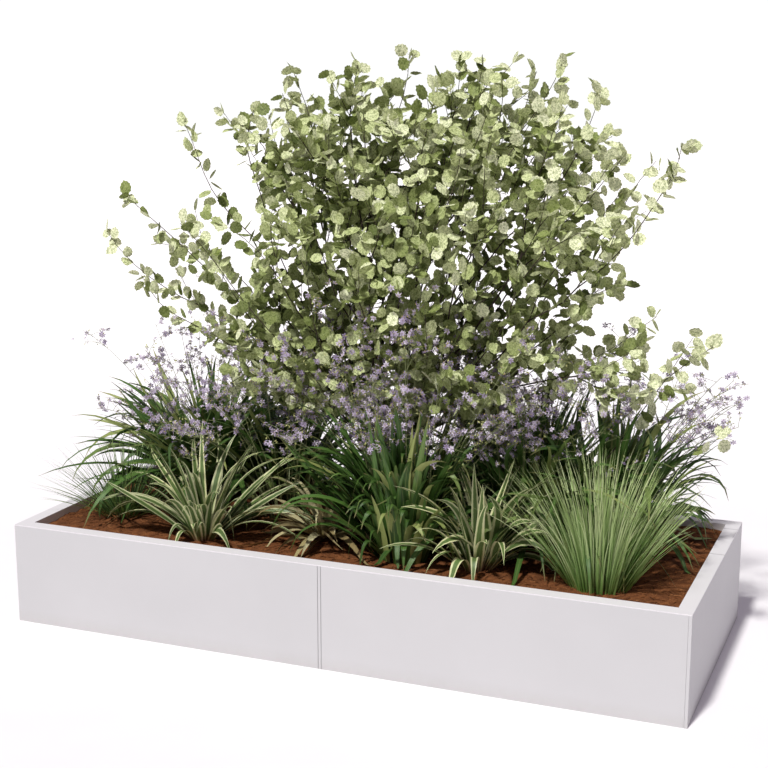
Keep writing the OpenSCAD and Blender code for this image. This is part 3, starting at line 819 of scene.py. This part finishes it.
def floret(shape, rng, at, facing, size):
    """A small star of six thin petals, bent back a little, round a yellow middle."""
    facing = unit(facing)
    a = unit(np.cross(facing, ASKEW))
    b = np.cross(facing, a)
    turn = TAU * np.arange(PETALS) / PETALS + rng.normal(0, 0.12, PETALS)
    out = np.outer(np.cos(turn), a) + np.outer(np.sin(turn), b)
    side = np.cross(facing, out) * 0.23 * size
    belly = at + out * 0.5 * size
    bend = (rng.uniform(-0.45, 0.15) + rng.normal(0, 0.1, PETALS)) * size
    tip = at + out * size + np.outer(bend, facing)
    root = at + out * 0.06 * size + facing * 0.09 * size
    points = np.stack([root, belly - side, tip, belly + side], 1)
    tris = PETAL_FACES[None] + 4 * np.arange(PETALS)[:, None, None]
    along = np.tile([0, 0.5, 1, 0.5], PETALS)
    shape.add(points, (), tris, slot=PETAL_SLOT, tone=rng.uniform(0, 1), along=along)
    knob(shape, at + facing * 0.1 * size, facing * 0.34 * size, 0.13 * size, MIDDLE_SLOT)


def knob(shape, at, axis, radius, slot):
    """A small pointed bead about an axis, for a bud or a flower's middle."""
    axis_unit = unit(axis)
    a = unit(np.cross(axis_unit, ASKEW))
    b = np.cross(axis_unit, a)
    ring = [at + (a * math.cos(t) + b * math.sin(t)) * radius for t in (0, TAU / 3, 2 * TAU / 3)]
    tris = [(0, 2, 3), (0, 3, 4), (0, 4, 2), (1, 3, 2), (1, 4, 3), (1, 2, 4)]
    shape.add([at + axis, at - axis * 0.6] + ring, (), tris, slot=slot)


def along_path(path, t):
    """The point a share t of the way along a path."""
    u = min(max(t, 0.0), 0.9999) * (len(path) - 1)
    k = int(u)
    return path[k] + (path[k + 1] - path[k]) * (u - k)


def flower_spray(shape, rng, root, reach, florets):
    """One side twig of a head, with florets and a few buds on short stalks."""
    azimuth = rng.uniform(0, TAU)
    rise, fall = math.radians(rng.uniform(5, 65)), math.radians(rng.uniform(-20, 45))
    twig = bent_path(root, azimuth, reach, rise, fall, 1.0, TWIG_STEPS)
    tube(shape, twig, np.linspace(0.0009, 0.0005, TWIG_STEPS + 1), 3)
    for _ in range(florets):
        spot = along_path(twig, rng.uniform(0.3, 1.0))
        facing = unit(rng.normal(0, 1, 3) + np.array([0.0, 0.0, 0.3]))
        head = spot + facing * rng.uniform(*FLORET_STALK)
        tube(shape, [spot, head], [0.0006, 0.0005], 3)
        if rng.random() < BUD_SHARE:
            knob(shape, head, facing * BUD_LENGTH, BUD_RADIUS, BUD_SLOT)
        else:
            floret(shape, rng, head, facing, rng.uniform(*FLORET_RADIUS))


def flower_stems(side, materials, seed, stems, length, lean, tuft, tuft_share, reach=FLOWER_REACH):
    """
    Open heads on thin stalks that rise out of a clump and lean outwards by up to lean degrees.
    A share of them grows from a second tuft beside the first.
    """
    rng = np.random.default_rng(seed)
    shape, centre, steps = Shape(), middle("purple_" + side), STALK_STEPS
    for i in range(stems):
        azimuth = i * GOLDEN_TURN + rng.uniform(-0.4, 0.4)
        out = rng.uniform(0.25, 1.0)
        rise = math.radians(90 - lean * out * 0.55)
        off = rng.uniform(0.02, 0.09)
        start = centre + [off * math.cos(azimuth), off * math.sin(azimuth), 0]
        if rng.random() < tuft_share:
            start = start + [tuft[0], tuft[1], 0]
        size = rng.uniform(*length) * (1.06 - 0.2 * out)
        fall = rise - math.radians(lean * out)
        path = bent_path(start, azimuth, size, rise, fall, 1.4, steps, rng.normal(0, 0.3))
        path = fence(path, reach)
        tube(shape, path, np.linspace(0.0019, 0.0008, steps + 1), 4)
        for _ in range(rng.integers(7, 11)):
            t = rng.uniform(HEAD_FROM, 1.0)
            twig = rng.uniform(0.05, 0.15) * (1.3 - 0.6 * t)
            flower_spray(shape, rng, along_path(path, t), twig, rng.integers(3, 6))
    add_piece("flower_heads_" + side, shape, materials, "floret", "flowers_" + side)


# ---- The shrub ----

# Masses of the crown: middle, radii and how many twig ends each holds.
MASSES = [
    ((0.07, 0.10, 1.42), (0.60, 0.46, 0.52), 420),
    ((-0.22, 0.10, 1.72), (0.34, 0.34, 0.22), 60),
    ((0.36, 0.10, 1.74), (0.38, 0.34, 0.22), 85),
    ((-0.58, 0.05, 1.38), (0.24, 0.32, 0.34), 20),
    ((-0.86, 0.05, 1.20), (0.22, 0.20, 0.20), 9),
    ((0.64, 0.12, 1.45), (0.24, 0.32, 0.38), 48),
    ((0.84, 0.12, 1.58), (0.18, 0.22, 0.22), 10),
    ((0.86, 0.10, 1.00), (0.26, 0.22, 0.16), 16),
    ((-0.26, 0.10, 1.00), (0.46, 0.34, 0.20), 120),
    ((0.30, 0.10, 0.98), (0.46, 0.34, 0.20), 130),
    ((-0.04, 0.04, 0.87), (0.56, 0.26, 0.12), 80),
]
# Ends of the long shoots that stand out of the crown.
SHOOTS = [
    (-0.80, 0.08, 1.77), (-0.62, 0.05, 1.80), (-1.12, 0.05, 1.35), (-1.03, 0.05, 1.49), (0.73, 0.12, 1.88),
    (0.61, 0.10, 1.98), (1.00, 0.12, 1.71), (0.93, 0.12, 1.54), (1.13, 0.08, 1.06), (1.17, 0.06, 0.77),
    (-0.37, 0.10, 1.95), (0.07, 0.10, 2.00), (0.44, 0.10, 1.97), (0.24, 0.12, 1.98), (-0.12, 0.1, 1.96),
]
# Height of the trunk above its foot, and how much a way back to the foot counts beside the way to the parent.
TRUNK_TOP = 0.66
DETOUR = 0.80
# Least distance between twig ends, and how often each is tried.
SPACING = 0.055
TRIES = 12
# Length of a branch's pieces, and how thick it is for the number of pieces that it bears.
PIECE = 0.07
TWIG_RADIUS = 0.0009
THICKENING = 0.345
# Leaves grow on twigs up to this thick, and not below this height.
LEAFY_RADIUS = 0.0026
LOWEST_LEAF = 0.76
LEAF_SIZE = 0.0225
HALF_THICKNESS = 0.0004
LEAF_RIM = 22
# Depth of a leaf's teeth, length of its tip and depth of the notch at its stalk, as shares of its size.
TEETH, TIP, NOTCH = 0.065, 0.15, 0.10
# Share of old leaves among the others, and how dark they are.
OLD_SHARE = 0.16
OLD_TONE = 0.35
# The crown's middle and its radii, for how far out in it a leaf is, which sets the painted light and shade in
# its tone.
CROWN_HEART = np.array([0.0, 0.1, 1.2])
CROWN_REACH = np.array([0.95, 0.55, 0.80])
# Where the crown is split, in X, Y and Z, into the masses that its CAD nodes hold.
LEFT_OF, RIGHT_OF, FAR_RIGHT = -0.46, 0.38, 0.95
FRONT_OF, BEHIND = -0.30, 0.50
LOW_BRANCH, UPPER_HALF = 1.0, 1.28


def scatter_ends(rng, foot):
    """Twig ends spread through the crown, none nearer another than SPACING, the lowest first."""
    ends = [np.array(p) for p in SHOOTS]
    for centre, radii, count in MASSES:
        for _ in range(count):
            for _ in range(TRIES):
                ball = rng.normal(0, 1, 3)
                ball *= rng.uniform(0, 1) ** (1 / 2.2) / np.linalg.norm(ball)
                p = np.array(centre) + ball * radii
                if min(np.sum((np.array(ends) - p) ** 2, axis=1)) > SPACING ** 2:
                    ends.append(p)
                    break
    ends.sort(key=lambda p: np.linalg.norm(p - foot))
    return ends


def grow(rng, foot):
    """Joins the ends into a tree. Each takes the parent with the shortest way to it and on to the foot."""
    rise = np.linspace(0, TRUNK_TOP, 10)
    points = [foot + [0.012 * math.sin(9 * h), 0.012 * math.sin(7 * h + 1), h] for h in rise]
    parents, way = list(range(-1, len(rise) - 1)), list(rise)
    for end in scatter_ends(rng, foot):
        known = np.array(points)
        gap = np.linalg.norm(known - end, axis=1)
        parent = int(np.argmin(gap + DETOUR * np.array(way)))
        pieces = max(1, int(round(gap[parent] / PIECE)))
        start, base = known[parent], way[parent]
        sag = np.array([rng.normal(0, 0.06), rng.normal(0, 0.06), -0.05]) * gap[parent]
        for i in range(1, pieces + 1):
            t = i / pieces
            points.append(start + (end - start) * t + sag * math.sin(math.pi * t))
            parents.append(parent if i == 1 else len(points) - 2)
            way.append(base + gap[parent] * t)
    return np.array(points), parents


def relax(points, parents, rounds=3):
    """Draws each point towards the middle of its neighbours, so that branches run smoothly."""
    kids = [[] for _ in parents]
    for i, p in enumerate(parents):
        if p >= 0:
            kids[p].append(i)
    for _ in range(rounds):
        moved = points.copy()
        for i, p in enumerate(parents):
            if p >= 0 and kids[i]:
                around = (points[p] + points[kids[i]].mean(axis=0)) / 2
                moved[i] = points[i] * 0.5 + around * 0.5
        points = moved
    return points, kids


def chains(kids, load):
    """Splits the tree into runs that follow the heaviest branch."""
    starts, runs = [(0, -1)], []
    while starts:
        i, before = starts.pop()
        run = [] if before < 0 else [before]
        while True:
            run.append(i)
            if not kids[i]:
                break
            onward = max(kids[i], key=lambda k: load[k])
            starts += [(k, i) for k in kids[i] if k != onward]
            i = onward
        runs.append(run)
    return runs


def leaf(shape, rng, at, reach, normal, size, tone):
    """A round toothed leaf on a short stalk: a closed thin lens, cupped and folded along its midrib."""
    reach = unit(reach)
    normal = unit(normal - np.dot(normal, reach) * reach)
    side = np.cross(normal, reach)
    stalk_end = at + reach * size * 0.5
    centre = stalk_end + reach * size * 0.9
    ring = np.arange(LEAF_RIM)
    turn = ring * TAU / LEAF_RIM
    off = np.minimum(turn, TAU - turn)
    rim = size * (1.0 + TEETH * np.where(ring % 2, -1, 1) + TIP * np.exp(-(off / 0.35) ** 2)
                  - NOTCH * np.exp(-((off - math.pi) / 0.4) ** 2))
    cup, curl, fold = rng.normal(0.08, 0.10), rng.normal(0, 0.14), rng.uniform(0.0, 0.25)
    u, v = rim * np.cos(turn), rim * np.sin(turn) * rng.uniform(0.86, 1.02)
    drop = cup * size + curl * u * np.abs(u) / size + fold * np.abs(v)
    edge = centre + np.outer(u, reach) + np.outer(v, side) + np.outer(drop, normal)
    thick = normal * HALF_THICKNESS
    after = np.roll(ring, -1)
    top, under = np.full(LEAF_RIM, LEAF_RIM), np.full(LEAF_RIM, LEAF_RIM + 1)
    tris = np.concatenate([np.stack([ring, after, top], -1), np.stack([after, ring, under], -1)])
    shape.add(np.concatenate([edge, [centre + thick], [centre - thick]]), (), tris, tone=tone,
              along=np.append(u / size, [0, 0]) * 0.5 + 0.5, across=np.append(v / size, [0, 0]))
    tube(shape, [at, stalk_end], [0.0007, 0.0005], 3, tone=tone * 0.5)


def crown_part(p):
    """The part of the crown that a leaf at p belongs to."""
    if p[1] < FRONT_OF or p[1] > BEHIND or (p[0] > FAR_RIGHT and p[2] < LOW_BRANCH):
        return "outer"
    if p[0] < LEFT_OF:
        return "left"
    return "right" if p[0] > RIGHT_OF else "middle_low" if p[2] < UPPER_HALF else "middle_high"


def make_shrub(wood, leafy):
    """Branches in one piece, and the leaves on their thin ends in one piece for each part of the crown."""
    rng = np.random.default_rng(5)
    foot = np.array([*SHRUB_FOOT, BED_TOP - 0.02])
    points, parents = grow(rng, foot)
    points, kids = relax(points, parents)
    load = np.ones(len(points))
    for i in range(len(points) - 1, 0, -1):
        load[parents[i]] += load[i]
    radius = TWIG_RADIUS * load ** THICKENING
    stems = Shape()
    for run in chains(kids, load):
        radii = radius[run].copy()
        radii[0] = min(radii[0], radii[1] * 1.25)
        sides = 8 if radii.max() > 0.006 else 5 if radii.max() > 0.002 else 3
        tube(stems, points[run], radii, sides)
    add_piece("shrub_branches", stems, [wood], "stem_wood", "shrub_stems")
    crowns = {part: Shape() for part in ("left", "middle_low", "middle_high", "right", "outer")}
    for i in range(1, len(points)):
        if radius[i] > LEAFY_RADIUS or points[i][2] < LOWEST_LEAF:
            continue
        start, end = points[parents[i]], points[i]
        count = 3 if kids[i] else 5
        for j in range(count):
            at = start + (end - start) * (j + rng.uniform(0.3, 1.0)) / count
            outward = unit(at - CROWN_HEART)
            reach = unit(end - start) * 0.5 + unit(rng.normal(0, 1, 3)) * 0.9
            normal = outward * 0.55 + np.array([-0.1, -0.15, 0.40]) + unit(rng.normal(0, 1, 3)) * 0.8
            # Leaves further out in the crown get paler tones and those deep in it darker ones: painted light
            # and painted shade. Leaves at twig ends, new growth, are a little paler as well.
            depth = min(np.linalg.norm((at - CROWN_HEART) / CROWN_REACH), 1.1)
            new_growth_and_painted_light = 0.10 * (0 if kids[i] else 1) + 0.60 * depth ** 2
            old = OLD_TONE if rng.random() < OLD_SHARE else 1.0
            tone = old * float(np.clip(rng.beta(1.7, 1.8) * 0.84 + new_growth_and_painted_light - 0.08, 0, 1))
            size = LEAF_SIZE * rng.uniform(0.84, 1.16)
            leaf(crowns[crown_part(at)], rng, at, reach, normal, size, tone)
    for part, shape in crowns.items():
        add_piece("shrub_leaves_" + part, shape, [leafy], "shrub_leaf", "crown_" + part.split("_")[0])


# ---- Everything together ----

make_camera()
make_world(light=0.27, tint=(1.0, 0.90, 1.06), seen=1.05)
make_sun(azimuth=-9, elevation=57, strength=3.3, softness=5, colour=(1.0, 1.0, 0.955))
make_floor(floor_paint())

seam = (float(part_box("panel_front_left")[1][0]), float(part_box("panel_front_right")[0][0]))
rim_joints = [float(end[1]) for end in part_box("rim_right_middle")]
# The rims get a lighter copy of the wall paint: painted light, for the rim tops that face the sun.
rim_lit_coat = powder_coat("rim_lit_coat", dark=(0.745, 0.722, 0.752), light=(0.780, 0.756, 0.786), letter="Y",
                       joints=rim_joints, reach=0.0032)
wall_coat = powder_coat("powder_coat", dark=(0.560, 0.553, 0.566), light=(0.590, 0.582, 0.596), letter="X",
                        joints=seam, reach=0.0024)
dress_frame({
    "rim": rim_lit_coat,
    "powder_coat": wall_coat,
    "zinc_steel": plated_steel("zinc_steel", (0.42, 0.43, 0.45), (0.60, 0.61, 0.63), scale=60.0),
    "galvanised_sheet": plated_steel("galvanised_sheet", (0.36, 0.38, 0.40), (0.58, 0.60, 0.62), scale=25.0),
    "foam_board": foam(),
    "gravel": gravel(),
    "fleece": fleece(),
    "planting_soil": earth("planting_soil", (0.008, 0.005, 0.003), (0.055, 0.032, 0.02), scale=90.0),
    "roots": earth("roots", (0.03, 0.018, 0.01), (0.16, 0.10, 0.06), scale=140.0),
})

make_mulch(bark(lift=1.25))
make_shrub(stem_bark(), round_leaf())

green = strap_leaf(dark=(0.026, 0.068, 0.012), mid=(0.092, 0.195, 0.036), pale=(0.380, 0.420, 0.140))
green_clump("left", green, seed=21, leaves=360, length=(0.42, 0.66), start=(89, 38), end=(62, -50), foot=0.10,
            crowd=0.75, pale=0.16, tuft=(0.30, 0.06), tuft_share=0.3,
            strays=[(188, 0.69, 50, -70, 0.9), (196, 0.70, 42, -75, 0.7), (176, 0.66, 48, 5, 1.0),
                    (184, 0.62, 40, -5, 0.95)])
green_clump("centre", green, seed=22, leaves=330, length=(0.44, 0.71), start=(89, 36), end=(62, -50),
            foot=0.09, crowd=0.75, tuft=(-0.02, 0.16), tuft_share=0.25, reach=((-0.27, -0.40), (0.41, 0.3)))
green_clump("right", green, seed=23, leaves=420, length=(0.44, 0.66), start=(89, 38), end=(64, -50),
            foot=0.11, crowd=0.8, tuft=(-0.27, -0.06), tuft_share=0.55, strays=[(35, 0.43, 36, -50, 0.35)])
striped = striped_leaf()
strap_clump("striped_left_leaves", "striped_left", striped, "striped_leaf", seed=33, leaves=64,
            length=(0.34, 0.50), width=(0.026, 0.039), start=(86, 30), end=(62, -48), power=1.6, wild=1.2,
            reach=((-0.92, -0.43), (-0.1, 0.1)))
# This clump has a larger share of pale leaves than the left one: painted light, to lift a clump that the
# centre clump shades.
strap_clump("striped_right_leaves", "striped_right", striped, "striped_leaf", seed=34, leaves=56,
            length=(0.34, 0.50), width=(0.028, 0.041), start=(86, 34), end=(60, -30), power=1.6, wild=1.2,
            reach=((0.12, -0.43), (0.72, 0.1)), pale=0.4, tuft=(-0.02, -0.06), tuft_share=0.6,
            strays=[(200, 0.42, 48, -5, 1.0), (222, 0.40, 56, 0, 0.9), (172, 0.44, 60, 20, 1.0),
                    (150, 0.42, 70, 40, 0.9), (250, 0.34, 50, -35, 1.0), (325, 0.40, 70, 25, 1.0),
                    (15, 0.42, 66, 35, 0.95), (275, 0.42, 76, 30, 1.0)])
fine = grass_look()
grass_clump("grass_right_blades", "grass_right", fine, seed=41, blades=440, length=(0.36, 0.50),
            width=(0.0050, 0.0090), lean=37, foot=0.10, tones=(0.40, 1))
grass_clump("grass_left_blades", "grass_left", fine, seed=42, blades=240, length=(0.24, 0.40),
            width=(0.0035, 0.0060), lean=62, foot=0.065, tones=(0, 0.5))
strap_clump("dried_leaf_clump", "dried_leaves", dried_leaf(), "dried_leaf", seed=51, leaves=58,
            length=(0.20, 0.38), width=(0.017, 0.032), start=(74, 24), end=(20, -60), foot=0.03, fold=0.7,
            twist=1.4, pale=0.4)

flower_looks = [
    speckled("flower_stalk", 0.6, 40.0, (0.10, 0.12, 0.045), (0.24, 0.27, 0.11), 600.0, 0.0003),
    petal(),
    speckled("anther", 0.7, 900.0, (0.42, 0.27, 0.06), (0.62, 0.47, 0.14), 1200.0, 0.0002),
    speckled("flower_bud", 0.6, 300.0, (0.30, 0.31, 0.10), (0.50, 0.50, 0.20), 1200.0, 0.0002),
]
flower_stems("left", flower_looks, seed=61, stems=68, length=(0.50, 0.84), lean=62, tuft=(0.42, -0.22),
             tuft_share=0.6)
flower_stems("centre", flower_looks, seed=62, stems=74, length=(0.56, 0.98), lean=56, tuft=(-0.06, 0.07),
             tuft_share=0.7, reach=((-0.42, -0.27), (0.62, 0.42)))
flower_stems("right", flower_looks, seed=63, stems=54, length=(0.56, 0.90), lean=58, tuft=(-0.30, -0.14),
             tuft_share=0.65, reach=((0.10, -0.06), (1.18, 0.62)))

bpy.context.scene.view_settings.view_transform = "Standard"
